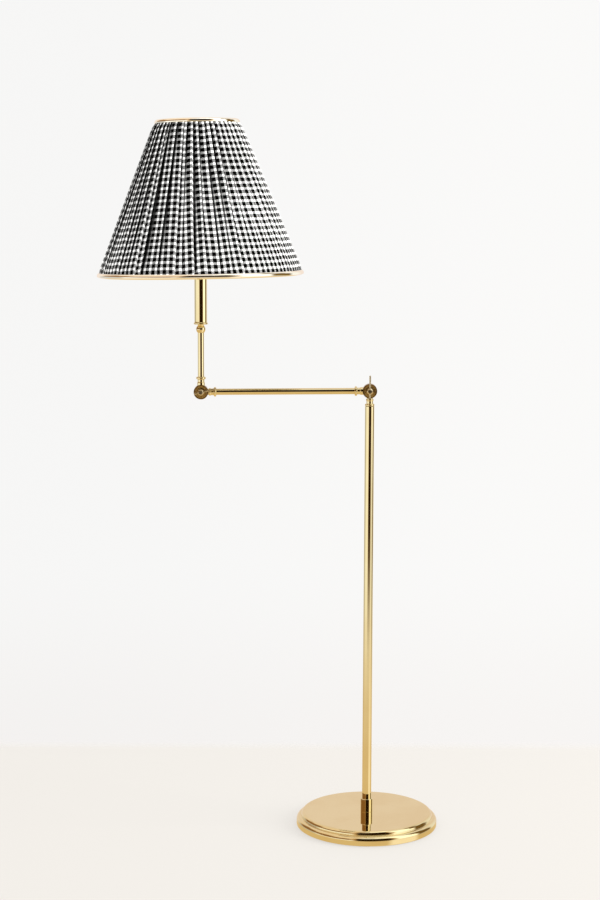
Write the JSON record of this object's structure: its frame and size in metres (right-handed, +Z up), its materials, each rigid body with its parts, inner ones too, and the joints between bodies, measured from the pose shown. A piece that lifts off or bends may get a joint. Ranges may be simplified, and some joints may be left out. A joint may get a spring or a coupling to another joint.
{
  "type": "bridge floor lamp",
  "caption": "Polished brass floor lamp with a round weighted base, a pole, a side arm between two clamping elbows and a gathered gingham cone shade.",
  "frame": {"origin": "centre of the base's underside, on the pole's axis", "axes": "+Z up along the pole, the arm runs to -X, the wing keys face -Y, the cord inlet faces +Y"},
  "size_m": [0.6949, 0.4152, 1.4494],
  "materials": {
    "brass": "mirror polished, lacquered",
    "inner_brass": "turned, unpolished",
    "cast_iron": "rough cast",
    "steel": "zinc plated",
    "felt": "pressed felt",
    "bushing": "moulded",
    "fibre": "pressed fibre",
    "phenolic": "moulded",
    "wire_jacket": "smooth",
    "lining": "stretched cotton",
    "gingham": "woven black and white check, gathered",
    "bulb_glass": "frosted"
  },
  "bodies": {
    "stand": {"base_shell": "brass", "base_weight": "cast_iron", "base_felt": "felt", "cord_bushing": "bushing", "base_washer": "steel", "base_nut": "steel", "base_nipple": "inner_brass", "pole_hub": "brass", "pole_tube": "brass", "pole_bushes": "inner_brass", "pole_nipple": "inner_brass", "pole_check_ring": "brass", "pole_knuckle": "brass", "pole_wire": "wire_jacket"},
    "arm": {"arm_knuckle_inner": "brass", "arm_knuckle_outer": "brass", "arm_tube": "brass", "arm_check_rings": "brass", "arm_nipples": "inner_brass", "friction_washers": "fibre", "arm_wire": "wire_jacket"},
    "shade_stem": {"stem_knuckle": "brass", "stem_check_ring": "brass", "stem_nipple": "inner_brass", "stem_tube": "brass", "stem_ball": "brass", "stem_wire": "wire_jacket", "candle_cup": "brass", "candle_tube": "brass", "socket_nipple": "inner_brass", "socket_cup": "brass", "socket_nut": "steel", "socket_body": "phenolic", "screw_shell": "inner_brass", "centre_contact": "inner_brass", "bulb_cap": "inner_brass", "bulb_glass": "bulb_glass", "shade_retaining_ring": "brass", "shade_fitter": "brass", "shade_lower_rim": "brass", "shade_upper_rim": "brass", "shade_lining": "lining", "shade_cloth": "gingham"},
    "arm_wing_key": {"arm_key": "brass"},
    "stem_wing_key": {"stem_key": "brass"}
  },
  "joints": [
    {"name": "arm_tilt", "type": "hinge", "parent": "stand", "child": "arm", "pos_m": [0, 0, 0.9068], "axis": [0, 1, 0], "range_deg": [-30, 90]},
    {"name": "shade_tilt", "type": "hinge", "parent": "arm", "child": "shade_stem", "pos_m": [-0.34199, 0, 0.90382], "axis": [0, -1, 0], "range_deg": [-30, 135]},
    {"name": "arm_key_turn", "type": "hinge", "parent": "stand", "child": "arm_wing_key", "pos_m": [0, 0, 0.9068], "axis": [0, -1, 0], "range_deg": [0, 270]},
    {"name": "stem_key_turn", "type": "hinge", "parent": "arm", "child": "stem_wing_key", "pos_m": [-0.34199, 0, 0.90382], "axis": [0, -1, 0], "range_deg": [0, 270]}
  ]
}
